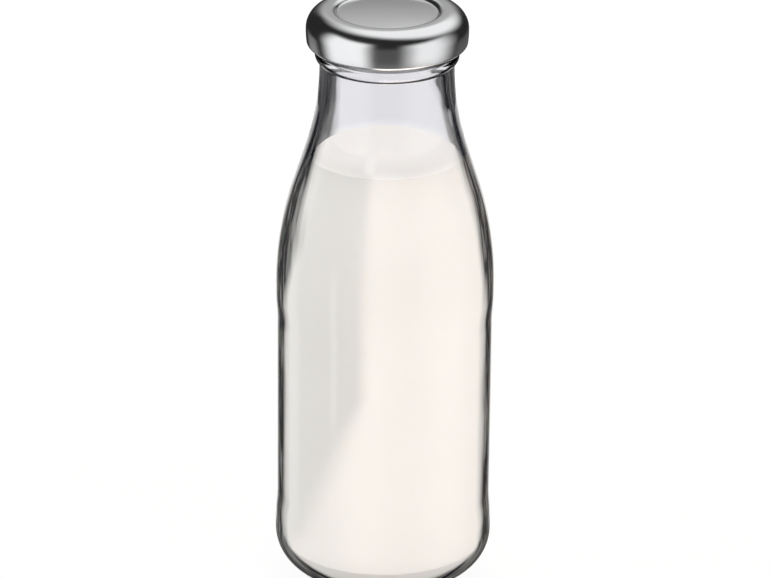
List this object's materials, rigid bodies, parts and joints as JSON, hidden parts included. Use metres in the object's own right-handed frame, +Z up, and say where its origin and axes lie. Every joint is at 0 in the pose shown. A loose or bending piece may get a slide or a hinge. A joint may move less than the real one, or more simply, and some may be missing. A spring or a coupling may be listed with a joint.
{
  "type": "milk bottle",
  "caption": "Clear glass milk bottle filled with milk, with a long sloping shoulder, a beaded neck and a satin silver twist-off cap with a sunken panel.",
  "frame": {"origin": "centre of the ring that the bottle stands on, in the plane of that ring", "axes": "+Z up along the bottle's axis of symmetry, towards the cap; +X and +Y are two directions across it"},
  "size_m": [0.0624, 0.0622, 0.1709],
  "materials": {
    "bottle": "clear flint glass, fire-polished",
    "milk": "opaque warm white liquid with a smooth surface",
    "cap": "satin silver lacquer on tinplate",
    "seal": "matt cream sealing compound"
  },
  "bodies": {
    "root": {"bottle": "bottle", "milk": "milk", "cap": "cap", "seal": "seal"}
  },
  "joints": []
}
